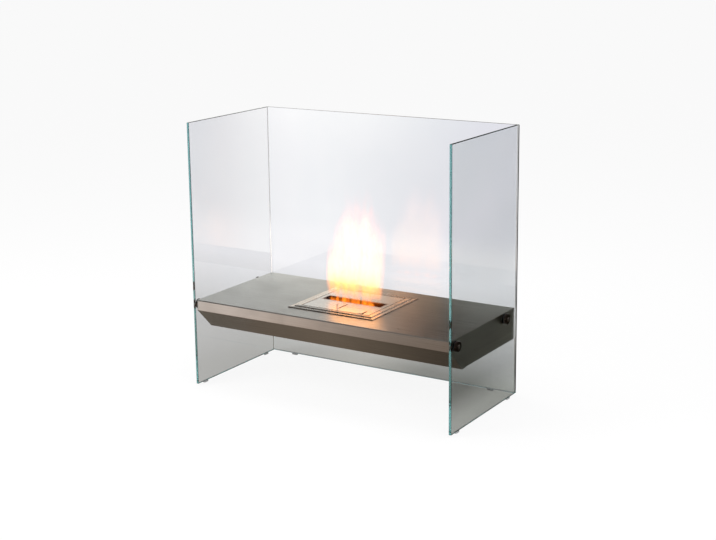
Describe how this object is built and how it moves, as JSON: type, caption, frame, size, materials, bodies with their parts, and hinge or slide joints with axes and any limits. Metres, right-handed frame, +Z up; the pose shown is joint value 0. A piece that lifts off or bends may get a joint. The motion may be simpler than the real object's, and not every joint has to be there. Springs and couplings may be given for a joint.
{
  "type": "bioethanol fireplace",
  "caption": "Free-standing bioethanol fireplace: a stainless hearth with a drop-in shuttered burner, hung between clear glass panels that form a U open at the front.",
  "frame": {"origin": "on the floor, under the centre of the whole object's box", "axes": "+X along the width to the viewer's right, +Y from the open front to the back glass, +Z up"},
  "size_m": [1.126, 0.523, 1.01],
  "materials": {
    "clear_glass": "clear toughened float glass with polished bevelled edges, green at the edges",
    "clear_silicone": "clear neutral silicone joint",
    "clear_pad": "translucent grey soft pad",
    "hearth_steel": "stainless steel, long brushed grain along the width",
    "burner_steel": "stainless steel, fine brushed grain",
    "inner_steel": "mill-finish stainless sheet",
    "heated_steel": "heat-tinted stainless steel",
    "fixing_steel": "turned and polished stainless steel",
    "screw_steel": "bright stainless fastener",
    "black_gasket": "matt black elastomer",
    "nylon_bush": "natural nylon sleeve",
    "ceramic_fibre": "soft ceramic fibre, scorched at the top"
  },
  "bodies": {
    "root": {"base_nuts": "screw_steel", "base_screws": "screw_steel", "burner_surround": "burner_steel", "burner_well": "inner_steel", "corner_joint_left": "clear_silicone", "corner_joint_right": "clear_silicone", "deck_stiffener_front": "inner_steel", "deck_stiffener_rear": "inner_steel", "feet_back": "clear_pad", "feet_left": "clear_pad", "feet_right": "clear_pad", "fixing_bushes_back": "nylon_bush", "fixing_bushes_left": "nylon_bush", "fixing_bushes_right": "nylon_bush", "fixing_discs_back": "fixing_steel", "fixing_discs_left": "fixing_steel", "fixing_discs_right": "fixing_steel", "fixing_inner_gaskets_back": "black_gasket", "fixing_inner_gaskets_left": "black_gasket", "fixing_inner_gaskets_right": "black_gasket", "fixing_nuts_back": "screw_steel", "fixing_nuts_left": "screw_steel", "fixing_nuts_right": "screw_steel", "fixing_outer_gaskets_back": "black_gasket", "fixing_outer_gaskets_left": "black_gasket", "fixing_outer_gaskets_right": "black_gasket", "fixing_screws_back": "screw_steel", "fixing_screws_left": "screw_steel", "fixing_screws_right": "screw_steel", "glass_panel_back": "clear_glass", "glass_panel_left": "clear_glass", "glass_panel_right": "clear_glass", "hearth_base": "hearth_steel", "hearth_end_plate_left": "hearth_steel", "hearth_end_plate_right": "hearth_steel", "hearth_shell": "hearth_steel", "well_nuts": "screw_steel", "well_studs": "screw_steel"},
    "burner": {"burner_rim": "burner_steel", "fuel_tank": "inner_steel", "flame_trough": "heated_steel", "wick_strip": "ceramic_fibre", "fuel_absorber": "ceramic_fibre"},
    "lid": {"burner_lid": "burner_steel", "shutter_guide_left": "inner_steel", "shutter_guide_right": "inner_steel"},
    "shutter": {"shutter": "burner_steel", "shutter_tab": "burner_steel", "shutter_tab_rivets": "screw_steel"}
  },
  "joints": [
    {"name": "burner_lift", "type": "slide", "parent": "root", "child": "burner", "axis": [0, 0, 1], "range_m": [0, 0.12]},
    {"name": "lid_lift", "type": "slide", "parent": "burner", "child": "lid", "axis": [0, 0, 1], "range_m": [0, 0.05]},
    {"name": "shutter_slide", "type": "slide", "parent": "lid", "child": "shutter", "axis": [0, 1, 0], "range_m": [0, 0.0565]}
  ]
}
